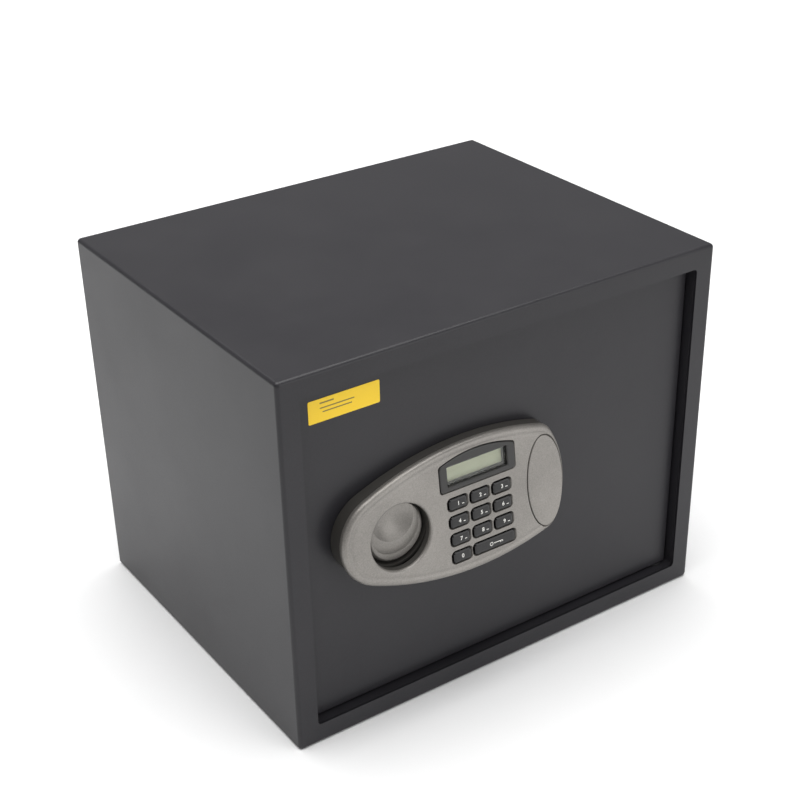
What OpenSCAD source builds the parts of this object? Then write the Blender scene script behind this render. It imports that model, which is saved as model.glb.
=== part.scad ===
/* [Cabinet] */
// Width of the cabinet
cabinet_w = 380; // [360:1:420]
// Height of the cabinet
cabinet_h = 300; // [290:1:340]
// Depth of the cabinet
cabinet_d = 300; // [280:1:360]
// Thickness of the cabinet sheet
sheet_t = 2; // [1.5:0.5:3]
// Width of the front frame around the door
frame_w = 16.5; // [16:0.5:20]
// Depth of the lip folded in behind the frame
lip_d = 22; // [20:0.5:24]
// Radius of the folded front edge
fold_r = 3; // [2:0.5:4]

/* [Door] */
// Thickness of the door plate
door_t = 5; // [4:0.5:5]
// Depth of the door face behind the frame
door_recess = 8.5; // [8:0.5:9]
// Gap around the door
door_gap = 1.8; // [1.5:0.1:2.2]
// Gap beside the hinge
hinge_gap = 2.5; // [2.2:0.1:2.8]
// Radius of the hinge pins
hinge_r = 4; // [3:0.5:4]
// Radial clearance of every turning or sliding fit
run_gap = 0.05; // [0.02:0.01:0.1]

/* [Control panel] */
// Slope of the panel face from the door
face_tilt = 7.5; // [5:0.5:9]
// Distance of the face's centre line from the middle of the cabinet
face_reach = 162; // [160:0.5:164]
// Thickness of the silver fascia
fascia_t = 3; // [2.5:0.5:3]
// Depth of the fascia's rolled rim
rim_d = 5.5; // [5:0.5:6]
// Centre of the knob across the door
knob_x = -104; // [-105:0.5:-103]
// Height of the knob's centre
knob_z = 157.5; // [156.5:0.5:158.5]
// Radius of the knob
knob_r = 23; // [21:0.5:23.5]
// Radius of the well around the knob
well_r = 25; // [24:0.5:26]
// Distance between key columns
key_pitch_x = 19.4; // [19:0.1:19.8]
// Distance between key rows
key_pitch_v = 14; // [13.5:0.1:14.2]
// Width of a number key
key_w = 15.2; // [14.5:0.1:16]
// Height of a number key
key_h = 8.6; // [8:0.1:9.5]

/* [Bolt work] */
// Radius of a locking bolt
bolt_r = 9; // [8:0.5:9]
// Distance between the bolts and the knob's centre
bolt_offset = 60; // [56:1:64]
// Radius at which the crank pin turns
crank_r = 12; // [10:0.5:12]
// Angle that the knob turns
knob_turn = 80; // [70:1:84]

/* [Hidden] */

$fn = 64;
cut = 0.5;

// Cabinet
front_y = -cabinet_d / 2;
open_x = cabinet_w / 2 - frame_w;
open_z0 = frame_w;
open_z1 = cabinet_h - frame_w;
anchor_r = 5;
anchor_x = 120;
anchor_y = 75;
back_anchor_z = 200;
lip_y = front_y + lip_d;
mat_t = 2.5;

// Door and hinge
door_y = front_y + door_recess;
door_back = door_y + door_t;
door_x0 = -open_x + door_gap;
door_x1 = open_x - hinge_gap;
door_z0 = open_z0 + door_gap;
door_z1 = open_z1 - door_gap;
hinge_x = door_x1 - 8;
hinge_y = door_y + 6;
pin_in_door = 26.7;
hinge_plate_t = 3;
spindle_hole_r = 8;
wire_hole_r = 6;
wire_hole = [-35, 158];

// Control panel outline: four arcs about a level axis, joined by two corner arcs
axis_v = 10.8;
nose_x = -117;
nose_r = 35;
top_x = -39;
top_r = 235;
end_x = -30;
end_r = 72;
corner_r = 13;
axis_drop = sqrt(pow(top_r - nose_r, 2) - pow(top_x - nose_x, 2));
corner = meet(top_x, -axis_drop, top_r - corner_r, end_x, 0, end_r - corner_r);
nose_turn = atan2(axis_drop, nose_x - top_x);
top_turn = atan2(corner[1] + axis_drop, corner[0] - top_x);
end_turn = atan2(corner[1], corner[0] - end_x);
wall_t = 3;
deck_t = 4;
deck_inset = 3;
deck_top = -fascia_t;
seat_w = -rim_d;
panel_z = 150;
panel_front = -180;
well_floor = -146;
bosses = [[-141, 160], [-72.5, 128], [9.5, 190], [9.5, 128]];
boss_r = 4;
screw_r = 1.7;

// Panel openings, measured across and up the sloping face
bezel_x = -35.7;
bezel_w = 66;
bezel_v0 = 28.4;
bezel_v1 = 48.4;
bezel_rise = 6;
glass_x0 = -62.1;
glass_x1 = -9.5;
glass_v0 = 32.3;
glass_v1 = 47.4;
window_w = -3;
keys_x = -55;
keys_v = 17.7;
key_travel = 1.2;
key_gap = 0.35;
key_corner = 2;
key_top = 0.3;
key_shoulder = -5.6;
key_flange = 0.8;
cover_x = 23.6;
cover_v = 8.2;
cover_rx = 16;
cover_rv = 36.5;
dome_h = 0.3;
membrane_t = 1.2;
membrane_top = key_shoulder - 1 - key_travel - 0.1 - dome_h;
board_top = membrane_top - membrane_t;
board_t = 1.6;
board_outline = [-67, -31, -1, 53];
keypad_outline = [-65.5, -31.5, -5, 26];

// Knob, spindle and crank
knob_back = -146.5;
grip_face = -157.5;
spindle_r = 5;
spindle_tip = -150.5;
disc_y = -132;
disc_t = 4;
pin_r = 3;
turn_half = knob_turn / 2;
crank_x = knob_x + crank_r * sin(turn_half);
crank_z = knob_z + crank_r * cos(turn_half);
throw_x = 2 * crank_r * sin(turn_half);

// Bolt work, behind the door
base_plate_t = 3;
base_top = door_back + base_plate_t;
base_z0 = 84;
base_z1 = 232;
fold_y = -106;
carriage_y = -125;
carriage_t = 3;
bolt_y = -117.5;
bolt_zs = [knob_z - bolt_offset, knob_z + bolt_offset];
bolt_tip = -169;
flange_x = -127;
carriage_z0 = 86;
carriage_z1 = 230;
arm_z1 = knob_z + 28;
thread_r = 3;
stud_x = -84;
stud_z = 143;
stud_r = 4;
guide_x = -149.5;
solenoid_x = -85.2;
solenoid_y = -123.5;
solenoid_z = 196;
solenoid_h = 32;
plunger_r = 4;

// Emergency lock
lock_x = 24;
lock_z = 158;
lock_r = 9.5;
lock_front = -153;
lock_back = -128;
plug_r = 6;
cam_y = -125;

// Inner cover and battery box
cover_y = -98;
cover_t = 1.5;
cover_x0 = -152;
cover_x1 = 126;
cover_z0 = 72;
cover_z1 = 244;
box_x = 44;
box_z = 84;
box_w = 68;
box_h = 58;
box_d = 20;
cell_y = cover_y - 9.5;
contact_gap = 0.2;
cell_r = 7.1;
cell_l = 50;
button_x = 80;
button_z = 190;
switch_half = 6;
flange_w = 12;
cover_screw_xs = [-130, 0, 110];
cover_screw_zs = [cover_z0 - flange_w / 2, cover_z1 + flange_w / 2];

battery_route = [[-37, -146, 157], [-37, -132, 157], [-35, -124, 158], [-26, -118, 164], [0, -116, 176],
  [30, -115, 180], [52, -113, 170], [62, -109, 156], [64, -108, 142]];
solenoid_route = [[-32.5, -146, 157], [-32.5, -132, 157], [-34, -124, 162], [-44, -121, 180],
  [-56, -122, 200], [-66, -123.5, 210], [-75, -123.5, 210]];
reset_route = [[-35, -146, 161.5], [-35, -132, 161.5], [-30, -124, 170], [-10, -119, 190], [30, -116, 200],
  [60, -112, 196], [70, -109, 190], [74, -109, 190]];

// Point where two circles meet, right of the line from the first centre to the second
function meet(ax, ay, ar, bx, by, br) =
  let (dx = bx - ax, dy = by - ay, d = norm([dx, dy]), along = (d * d + ar * ar - br * br) / (2 * d),
    side = sqrt(ar * ar - along * along))
  [ax + (along * dx + side * dy) / d, ay + (along * dy - side * dx) / d];

function arc(x, y, r, from, to, steps) =
  [for (i = [0:steps]) let (a = from + (to - from) * i / steps) [x + r * cos(a), y + r * sin(a)]];

// Outline of the control panel, moved inwards by a distance, counter-clockwise from the right
function panel_outline(inset) = concat(
  arc(end_x, axis_v, end_r - inset, -end_turn, end_turn, 16),
  arc(corner[0], axis_v + corner[1], corner_r - inset, end_turn, top_turn, 6),
  arc(top_x, axis_v - axis_drop, top_r - inset, top_turn, nose_turn, 20),
  arc(nose_x, axis_v, nose_r - inset, nose_turn, 360 - nose_turn, 18),
  arc(top_x, axis_v + axis_drop, top_r - inset, 360 - nose_turn, 360 - top_turn, 20),
  arc(corner[0], axis_v - corner[1], corner_r - inset, 360 - top_turn, 360 - end_turn, 6)
);

function oval(x, y, rx, ry) = [for (i = [0:47]) [x + rx * cos(i * 7.5), y + ry * sin(i * 7.5)]];

function box_outline(x0, y0, x1, y1, r) = concat(
  arc(x1 - r, y1 - r, r, 0, 90, 5), arc(x0 + r, y1 - r, r, 90, 180, 5),
  arc(x0 + r, y0 + r, r, 180, 270, 5), arc(x1 - r, y0 + r, r, 270, 360, 5)
);

// Bezel outline: a box whose top edge is a low arch
function bezel_outline(inset) =
  let (half = bezel_w / 2 - inset, rise = bezel_rise, r = (half * half + rise * rise) / (2 * rise),
    sweep = asin(half / r), y0 = bezel_v0 + inset, y1 = bezel_v1 - inset)
  concat(
    arc(bezel_x, y1 + rise - r, r, 90 - sweep * 0.95, 90 + sweep * 0.95, 16),
    [[bezel_x - half, y1 - 1.5]],
    arc(bezel_x - half + 2.5, y0 + 2.5, 2.5, 180, 270, 4),
    arc(bezel_x + half - 2.5, y0 + 2.5, 2.5, 270, 360, 4),
    [[bezel_x + half, y1 - 1.5]]
  );

module block(corner_a, corner_b) {
  translate(corner_a) cube(corner_b - corner_a);
}

function step(axis) = axis == "x" ? [1, 0, 0] : axis == "y" ? [0, 1, 0] : [0, 0, 1];

// A cylinder that runs towards +X, +Y or +Z from a point
module rod(from, axis, r, l) {
  turn = axis == "x" ? [0, 90, 0] : axis == "y" ? [-90, 0, 0] : [0, 0, 0];
  translate(from) rotate(turn) cylinder(r = r, h = l);
}

module ring(from, axis, outer, inner, l) {
  difference() {
    rod(from, axis, outer, l);
    rod(from - cut * step(axis), axis, inner, l + 2 * cut);
  }
}

// A round-ended slot from one point to another, both across and up, through a plate that lies across Y
module slot(a, b, r, y0, y1) {
  wide = a[0] == b[0] ? [r, 0] : [0, r];
  block([a[0] - wide[0], y0, a[1] - wide[1]], [b[0] + wide[0], y1, b[1] + wide[1]]);
  for (p = [a, b])
    rod([p[0], y0, p[1]], "y", r, y1 - y0);
}

// The sloping panel frame: X across, Y up the face, Z out of the face
module on_face() {
  translate([0, -face_reach, panel_z]) rotate([90 - face_tilt, 0, 0]) children();
}

// A block that takes in all of the panel behind the face, up to a height above it
module behind_face(top) {
  depth = 60;
  on_face() translate([nose_x - nose_r - 10, -top_r / 2, -depth]) cube([top_r, top_r, depth + top]);
}

// A flat shape on the sloping face, from one height above it to another
module face_slab(from, to) {
  on_face() translate([0, 0, from]) linear_extrude(to - from) children();
}

// A flat shape drawn across and up, extruded from one depth to another behind the front
module door_slab(y0, y1) {
  translate([0, y1, 0]) rotate([90, 0, 0]) linear_extrude(y1 - y0) children();
}

// A tube swept along a route, with eight sides
module wire(route, r) {
  sides = 8;
  n = len(route);
  function lean(i) = let (a = route[max(i - 1, 0)], b = route[min(i + 1, n - 1)]) (b - a) / norm(b - a);
  function side(i) = let (s = cross(lean(i), abs(lean(i)[0]) > 0.9 ? [0, 1, 0] : [1, 0, 0])) s / norm(s);
  points = [for (i = [0:n - 1]) let (s = side(i), t = cross(lean(i), s))
    for (k = [0:sides - 1]) route[i] + r * (cos(k * 360 / sides) * s + sin(k * 360 / sides) * t)];
  walls = [for (i = [0:n - 2]) for (k = [0:sides - 1]) let (j = (k + 1) % sides, a = i * sides, b = a + sides)
    each [[a + k, b + k, b + j], [a + k, b + j, a + j]]];
  caps = [[for (k = [0:sides - 1]) k], [for (k = [sides - 1:-1:0]) (n - 1) * sides + k]];
  polyhedron(points, concat(walls, caps), convexity = 6);
}

// Folded wrap with its front frame and the lips that form the door recess
module cabinet_shell() {
  half_w = cabinet_w / 2;
  color("dimgray") difference() {
    union() {
      difference() {
        door_slab(front_y + sheet_t, cabinet_d / 2)
          polygon(box_outline(-half_w, 0, half_w, cabinet_h, fold_r));
        door_slab(front_y, cabinet_d / 2 + cut)
          polygon(box_outline(-half_w + sheet_t, sheet_t, half_w - sheet_t, cabinet_h - sheet_t, 1));
      }
      for (step = [0:3])
        door_slab(front_y + step * sheet_t / 4, front_y + sheet_t) {
          inset = sheet_t - sheet_t * sin(acos(1 - step / 4));
          polygon(box_outline(-half_w + inset, inset, half_w - inset, cabinet_h - inset, fold_r));
        }
      door_slab(front_y + cut, lip_y)
        polygon(box_outline(-open_x - sheet_t, open_z0 - sheet_t, open_x + sheet_t, open_z1 + sheet_t, 5));
    }
    door_slab(front_y - cut, lip_y + cut)
      polygon(box_outline(-open_x, open_z0, open_x, open_z1, 3));
    for (x = [-anchor_x, anchor_x], y = [-anchor_y, anchor_y])
      rod([x, y, -cut], "z", anchor_r, sheet_t + 2 * cut);
    rod([hinge_x, hinge_y, open_z0 - sheet_t - cut], "z", hinge_r + run_gap, sheet_t + 2 * cut);
    rod([hinge_x, hinge_y, open_z1 - cut], "z", hinge_r + run_gap, sheet_t + 2 * cut);
  }
}

module back_panel() {
  half_w = cabinet_w / 2 - sheet_t;
  y = cabinet_d / 2;
  color("dimgray") difference() {
    door_slab(y - sheet_t, y) polygon(box_outline(-half_w, sheet_t, half_w, cabinet_h - sheet_t, 1));
    for (x = [-anchor_x, anchor_x])
      rod([x, y - sheet_t - cut, back_anchor_z], "y", anchor_r, sheet_t + 2 * cut);
  }
}

// Thick plates welded behind the lips, which carry the hinge pins
module hinge_plates() {
  left = 17;
  right = 12;
  depth = 20;
  color("gray") for (z = [open_z0 - sheet_t - hinge_plate_t, open_z1 + sheet_t])
    difference() {
      block([hinge_x - left, lip_y - depth, z], [hinge_x + right, lip_y, z + hinge_plate_t]);
      rod([hinge_x, hinge_y, z - cut], "z", hinge_r + run_gap, hinge_plate_t + 2 * cut);
    }
}

// Bar welded behind the left lip, which the thrown bolts pull against
module strike_bar() {
  bar_t = 4;
  past_bolts = 16;
  color("gray")
    block([-cabinet_w / 2 + sheet_t, lip_y - bar_t, carriage_z0 - past_bolts],
      [-open_x - sheet_t, lip_y, carriage_z1 + past_bolts]);
}

module floor_mat() {
  half = cabinet_w / 2 - sheet_t - 5;
  mat_front = lip_y + 10;
  mat_back = cabinet_d / 2 - 7;
  washer_r = 12;
  color("darkslategray") difference() {
    block([-half, mat_front, sheet_t], [half, mat_back, sheet_t + mat_t]);
    for (x = [-anchor_x, anchor_x], y = [-anchor_y, anchor_y])
      rod([x, y, sheet_t - cut], "z", washer_r, mat_t + 2 * cut);
  }
}

module door_plate() {
  boss_hole_r = 2.2;
  drilled = door_t + 2 * cut;
  color("dimgray") difference() {
    block([door_x0, door_y, door_z0], [door_x1, door_back, door_z1]);
    rod([knob_x, door_y - cut, knob_z], "y", spindle_hole_r, drilled);
    rod([lock_x, door_y - cut, lock_z], "y", lock_r, drilled);
    rod([wire_hole[0], door_y - cut, wire_hole[1]], "y", wire_hole_r, drilled);
    for (p = bosses)
      rod([p[0], door_y - cut, p[1]], "y", boss_hole_r, drilled);
    for (z = [door_z0 - cut, door_z1 - pin_in_door])
      block([hinge_x - hinge_r, hinge_y - hinge_r, z],
        [hinge_x + hinge_r, door_back + cut, z + pin_in_door + cut]);
  }
}

// Steel pins welded into grooves at the back of the door's hinge edge
module hinge_pins() {
  past_plate = 1.5;
  reach = sheet_t + hinge_plate_t + door_gap + past_plate;
  color("silver") {
    rod([hinge_x, hinge_y, door_z0 - reach], "z", hinge_r, pin_in_door + reach);
    rod([hinge_x, hinge_y, door_z1 - pin_in_door], "z", hinge_r, pin_in_door + reach);
  }
}

module hinge_washer() {
  washer_r = 7;
  play = 0.1;
  color("ivory") ring([hinge_x, hinge_y, open_z0 + play], "z", washer_r, hinge_r, door_gap - 2 * play);
}

module blank_label() {
  label_t = 0.2;
  label_w = 56.1;
  label_h = 17.1;
  from_left = 8.9;
  from_top = 7;
  x0 = door_x0 + from_left;
  z1 = door_z1 - from_top;
  color("gold") block([x0, door_y - label_t, z1 - label_h], [x0 + label_w, door_y, z1]);
}

// Dark moulded housing between the door and the fascia, with the knob's well and screw bosses
module panel_housing() {
  skirt_inset = 1;
  floor_t = 2;
  floor_hole_r = 12;
  screw_depth = 10;
  cover_ledge = 3;
  deck_low = deck_top - deck_t;
  color("darkslategray") difference() {
    union() {
      intersection() {
        difference() {
          door_slab(panel_front, door_y) translate([0, panel_z]) polygon(panel_outline(skirt_inset));
          door_slab(panel_front, door_y + cut)
            translate([0, panel_z]) polygon(panel_outline(skirt_inset + wall_t));
        }
        behind_face(seat_w);
      }
      intersection() {
        union() {
          rod([knob_x, panel_front, knob_z], "y", well_r + floor_t, well_floor + floor_t - panel_front);
          for (p = bosses)
            rod([p[0], panel_front, p[1]], "y", boss_r, door_y - panel_front);
        }
        behind_face(deck_low);
      }
      face_slab(deck_low, deck_top) polygon(panel_outline(deck_inset));
    }
    rod([knob_x, panel_front, knob_z], "y", well_r, well_floor - panel_front);
    rod([knob_x, panel_front, knob_z], "y", floor_hole_r, door_y - panel_front);
    for (p = bosses)
      rod([p[0], door_y - screw_depth, p[1]], "y", screw_r, screw_depth + cut);
    face_slab(deck_low - 1, 1) polygon(bezel_outline(-0.3));
    face_slab(deck_low - 1, 1) polygon(box_outline(-65, -31, -5.5, 25, 3));
    face_slab(deck_low - 1, 1)
      polygon(oval(cover_x, cover_v, cover_rx - cover_ledge, cover_rv - cover_ledge));
  }
}

function key_x(i) = keys_x + (i % 3) * key_pitch_x;
function key_v(i) = keys_v - floor(i / 3) * key_pitch_v;
start_x = (key_x(1) + key_x(2)) / 2 + 0.3;
start_w = 36.4;
start_v = key_v(10);

// Silver front with a rolled rim, open for the knob, display, keys and key cover
module fascia() {
  steps = 5;
  rim_t = 2.8;
  fit_gap = 0.2;
  cover_gap = 0.3;
  color("silver") difference() {
    union() {
      for (i = [0:steps - 1]) {
        turn = 90 * (i + 0.5) / steps;
        face_slab(-fascia_t, -fascia_t * (1 - sin(turn))) polygon(panel_outline(fascia_t * (1 - cos(turn))));
      }
      difference() {
        face_slab(-rim_d, -fascia_t) polygon(panel_outline(0));
        face_slab(-rim_d - cut, -fascia_t) polygon(panel_outline(rim_t));
      }
    }
    rod([knob_x, panel_front, knob_z], "y", well_r, door_y - panel_front);
    through_face() polygon(bezel_outline(-fit_gap));
    for (i = [0:9])
      key_hole(key_x(i), key_v(i), key_w);
    key_hole(start_x, start_v, start_w);
    through_face() polygon(oval(cover_x, cover_v, cover_rx + cover_gap, cover_rv + cover_gap));
  }
}

// A cut through the fascia and the bezel, square to the face
module through_face() {
  face_slab(-10, 5) children();
}

module key_hole(x, v, w) {
  half_w = w / 2 + key_gap;
  half_h = key_h / 2 + key_gap;
  through_face() polygon(box_outline(x - half_w, v - half_h, x + half_w, v + half_h, key_corner + 0.2));
}

module lcd_bezel() {
  proud = 0.3;
  ledge = 1.5;
  color("dimgray") difference() {
    face_slab(seat_w, proud) polygon(bezel_outline(0));
    face_slab(window_w, proud + cut) polygon(box_outline(glass_x0, glass_v0, glass_x1, glass_v1, 0.6));
    through_face()
      polygon(box_outline(glass_x0 + ledge, glass_v0 + ledge, glass_x1 - ledge, glass_v1 - ledge, 0.5));
  }
}

module lcd_window() {
  window_t = 0.8;
  gap = 0.1;
  color("lightgray") face_slab(window_w, window_w + window_t)
    polygon(box_outline(glass_x0 + gap, glass_v0 + gap, glass_x1 - gap, glass_v1 - gap, 0.5));
}

module lcd_module() {
  side = 2;
  color("darkseagreen") face_slab(board_top, seat_w - 0.1)
    polygon(box_outline(glass_x0 - side, glass_v0 - 1.5, glass_x1 + side, glass_v1 + 1.5, 0.5));
}

// Rubber sheet with a low dome under each key
module keypad_membrane() {
  dome_r = 3.2;
  o = keypad_outline;
  color("dimgray") {
    face_slab(board_top, membrane_top) polygon(box_outline(o[0], o[1], o[2], o[3], 2));
    for (i = [0:10])
      on_face() translate([i == 10 ? start_x : key_x(i), key_v(i), membrane_top])
        cylinder(r = dome_r, h = dome_h);
  }
}

// Circuit board with its wire connector
module control_board() {
  o = board_outline;
  socket_z = 159;
  color("darkgreen") difference() {
    union() {
      face_slab(board_top - board_t, board_top) polygon(box_outline(o[0], o[1], o[2], o[3], 1));
      block([wire_hole[0] - 6, -151.5, socket_z - 5], [wire_hole[0] + 6, well_floor, socket_z + 5]);
    }
    face_slab(board_top, -board_top) square(2 * top_r, center = true);
  }
}

module panel_screws() {
  bite = 8;
  head_r = 3.5;
  head_h = 2.2;
  color("silver") for (p = bosses) {
    rod([p[0], door_y - bite, p[1]], "y", screw_r, bite + door_t);
    rod([p[0], door_back, p[1]], "y", head_r, head_h);
  }
}

// Oval cap that pulls off to reach the emergency lock, with two legs that hold it
module key_cover() {
  cap_low = -2.8;
  proud = 0.4;
  leg_w = 8;
  leg_t = 2;
  leg_v = 30;
  color("silver") {
    face_slab(cap_low, proud) polygon(oval(cover_x, cover_v, cover_rx, cover_rv));
    for (v = [cover_v - leg_v, cover_v + leg_v])
      face_slab(seat_w, cap_low)
        polygon(box_outline(cover_x - leg_w / 2, v - leg_t / 2, cover_x + leg_w / 2, v + leg_t / 2, 0.4));
  }
}

module lock_cylinder() {
  collar_r = 12;
  collar_t = 2;
  color("silver") difference() {
    union() {
      rod([lock_x, lock_front, lock_z], "y", lock_r, lock_back - lock_front);
      rod([lock_x, door_y - collar_t, lock_z], "y", collar_r, collar_t);
    }
    rod([lock_x, lock_front - cut, lock_z], "y", plug_r + run_gap, lock_back - lock_front + 2 * cut);
  }
}

module lock_nut() {
  nut_r = 14;
  nut_t = 4;
  color("silver") difference() {
    translate([lock_x, door_back, lock_z]) rotate([-90, 0, 0]) cylinder(r = nut_r, h = nut_t, $fn = 6);
    rod([lock_x, door_back - cut, lock_z], "y", lock_r, nut_t + 2 * cut);
  }
}

// Turning core with a round key groove and a notch for the key's tooth
module lock_plug() {
  groove_out = 4.2;
  groove_in = 2.6;
  groove_d = 5;
  notch_w = 1.6;
  mouth = lock_front - cut;
  color("gold") difference() {
    rod([lock_x, lock_front, lock_z], "y", plug_r, cam_y - lock_front);
    ring([lock_x, mouth, lock_z], "y", groove_out, groove_in, groove_d + cut);
    block([lock_x - notch_w / 2, mouth, lock_z + 2], [lock_x + notch_w / 2, mouth + groove_d, lock_z + 5.2]);
  }
}

module lock_cam() {
  hub_r = 8;
  cam_w = 10;
  cam_l = 28;
  cam_t = 2.5;
  color("gray") {
    rod([lock_x, cam_y, lock_z], "y", hub_r, cam_t);
    block([lock_x - cam_w / 2, cam_y, lock_z], [lock_x + cam_w / 2, cam_y + cam_t, lock_z + cam_l]);
  }
}

// Round turn knob: a base disc with a domed grip, scooped out above to leave a crescent
module knob() {
  base_h = 7;
  grip = [-1, 4];
  grip_r = 20.5;
  dome_h = 3;
  dome_r = (grip_r * grip_r + dome_h * dome_h) / (2 * dome_h);
  scoop = [-4.1, 17.9];
  scoop_depth = 9;
  scoop_rim = 22.2;
  scoop_r = (scoop_rim * scoop_rim + scoop_depth * scoop_depth) / (2 * scoop_depth);
  color("silver") difference() {
    union() {
      rod([knob_x, knob_back - base_h, knob_z], "y", knob_r, base_h);
      intersection() {
        rod([knob_x, grip_face, knob_z], "y", knob_r, knob_back - grip_face);
        rod([knob_x + grip[0], grip_face, knob_z + grip[1]], "y", grip_r, knob_back - grip_face);
        translate([knob_x + grip[0], grip_face + dome_r, knob_z + grip[1]]) sphere(r = dome_r, $fn = 96);
      }
    }
    translate([knob_x + scoop[0], grip_face + scoop_depth - scoop_r, knob_z + scoop[1]])
      sphere(r = scoop_r, $fn = 96);
    rod([knob_x, spindle_tip, knob_z], "y", spindle_r, knob_back - spindle_tip + cut);
  }
}

module knob_spindle() {
  color("silver") rod([knob_x, spindle_tip, knob_z], "y", spindle_r, disc_y + disc_t - spindle_tip);
}

module spindle_bush() {
  flange_r = 11;
  flange_t = 2;
  color("goldenrod") difference() {
    union() {
      rod([knob_x, door_y - flange_t, knob_z], "y", flange_r, flange_t);
      rod([knob_x, door_y, knob_z], "y", spindle_hole_r, base_top - door_y);
    }
    rod([knob_x, spindle_tip, knob_z], "y", spindle_r + run_gap, base_top - spindle_tip + cut);
  }
}

module spindle_clip() {
  clip_r = 7.5;
  clip_t = 1;
  clip_y = base_top + 0.3;
  mouth_w = 4;
  color("silver") difference() {
    ring([knob_x, clip_y, knob_z], "y", clip_r, spindle_r, clip_t);
    block([knob_x - mouth_w / 2, clip_y - cut, knob_z - clip_r - cut],
      [knob_x + mouth_w / 2, clip_y + clip_t + cut, knob_z - 4]);
  }
}

// Disc on the spindle whose pin drives the carriage
module crank_disc() {
  disc_r = 18;
  pin_l = 9;
  color("gray") {
    ring([knob_x, disc_y, knob_z], "y", disc_r, spindle_r, disc_t);
    rod([crank_x, disc_y + disc_t, crank_z], "y", pin_r, pin_l);
  }
}

// Plate on the door's back, folded at its edge to guide the bolts
module lock_base_plate() {
  plate_x1 = -54;
  boss_clear_r = 5;
  color("gray") difference() {
    union() {
      block([guide_x, door_back, base_z0], [plate_x1, base_top, base_z1]);
      block([guide_x, door_back, base_z0], [guide_x + base_plate_t, fold_y, base_z1]);
    }
    for (z = bolt_zs)
      rod([guide_x - cut, bolt_y, z], "x", bolt_r + 2 * run_gap, base_plate_t + 2 * cut);
    rod([knob_x, door_back - cut, knob_z], "y", spindle_hole_r, base_plate_t + 2 * cut);
    for (p = bosses)
      rod([p[0], door_back - cut, p[1]], "y", boss_clear_r, base_plate_t + 2 * cut);
  }
}

module base_plate_nuts() {
  nut_r = 4.5;
  nut_t = 3.5;
  from_edge = 8;
  color("silver") for (x = [-138, -62], z = [base_z0 + from_edge, base_z1 - from_edge])
    translate([x, base_top, z]) rotate([-90, 0, 0]) cylinder(r = nut_r, h = nut_t, $fn = 6);
}

// Sliding plate that joins both bolts, with a slot for the crank pin and one for the guide stud
module bolt_carriage() {
  plate_x1 = -107;
  arm_x0 = -108;
  arm_x1 = -58;
  arm_z0 = knob_z - 22;
  play = 0.5;
  back = carriage_y + carriage_t;
  color("silver") difference() {
    union() {
      block([flange_x, carriage_y, carriage_z0], [plate_x1, back, carriage_z1]);
      block([flange_x, carriage_y, carriage_z0], [flange_x + carriage_t, fold_y, carriage_z1]);
      block([arm_x0, carriage_y, arm_z0], [arm_x1, back, arm_z1]);
    }
    slot([crank_x, crank_z], [crank_x, knob_z + crank_r], pin_r + play, carriage_y - cut, back + cut);
    slot([stud_x - play, stud_z], [stud_x + throw_x + play, stud_z], stud_r + 0.2, carriage_y - cut,
      back + cut);
    for (z = bolt_zs)
      rod([flange_x - cut, bolt_y, z], "x", thread_r, carriage_t + 2 * cut);
  }
}

// Tab on the carriage's arm, which meets the solenoid's plunger when the code hasn't been entered
module stop_tab() {
  tab_x = -79;
  tab_w = 3;
  tab_h = 5;
  color("silver")
    block([tab_x, carriage_y, arm_z1], [tab_x + tab_w, carriage_y + carriage_t, arm_z1 + tab_h]);
}

module locking_bolt(z) {
  tip = 2;
  tapped = 14;
  shank_x = bolt_tip + tip;
  color("silver") difference() {
    union() {
      rod([shank_x, bolt_y, z], "x", bolt_r, flange_x - shank_x);
      translate([shank_x, bolt_y, z]) rotate([0, -90, 0]) cylinder(r1 = bolt_r, r2 = bolt_r - tip, h = tip);
    }
    rod([flange_x - tapped, bolt_y, z], "x", thread_r, tapped + cut);
  }
}

module upper_bolt() {
  locking_bolt(bolt_zs[1]);
}

module lower_bolt() {
  locking_bolt(bolt_zs[0]);
}

module bolt_screws() {
  in_bolt = 13;
  head_r = 4.4;
  head_h = 4;
  color("dimgray") for (z = bolt_zs) {
    rod([flange_x - in_bolt, bolt_y, z], "x", thread_r, in_bolt + carriage_t);
    rod([flange_x + carriage_t, bolt_y, z], "x", head_r, head_h);
  }
}

module guide_stud() {
  stud_l = 12.2;
  head_r = 7;
  head_h = 2;
  color("dimgray") {
    rod([stud_x, base_top, stud_z], "y", stud_r, stud_l);
    rod([stud_x, base_top + stud_l, stud_z], "y", head_r, head_h);
  }
}

// Folded steel frame around the solenoid coil
module solenoid_frame() {
  half_w = 12;
  frame_t = 1.5;
  frame_back = -114;
  z1 = solenoid_z + solenoid_h;
  color("gray") difference() {
    block([solenoid_x - half_w, base_top, solenoid_z], [solenoid_x + half_w, frame_back, z1]);
    block([solenoid_x - half_w - cut, base_top + frame_t, solenoid_z + frame_t],
      [solenoid_x + half_w + cut, frame_back + cut, z1 - frame_t]);
    rod([solenoid_x, solenoid_y, solenoid_z - cut], "z", plunger_r + 0.3, solenoid_h + 2 * cut);
  }
}

// Coil, with the terminal block that its leads reach
module solenoid_coil() {
  coil_r = 8.4;
  end_gap = 1.5;
  color("peru") difference() {
    union() {
      rod([solenoid_x, solenoid_y, solenoid_z + end_gap], "z", coil_r, solenoid_h - 2 * end_gap);
      block([solenoid_x + 6, solenoid_y - 2.5, 207], [-75, solenoid_y + 2.5, 213]);
    }
    rod([solenoid_x, solenoid_y, solenoid_z], "z", plunger_r + 0.3, solenoid_h);
  }
}

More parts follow.
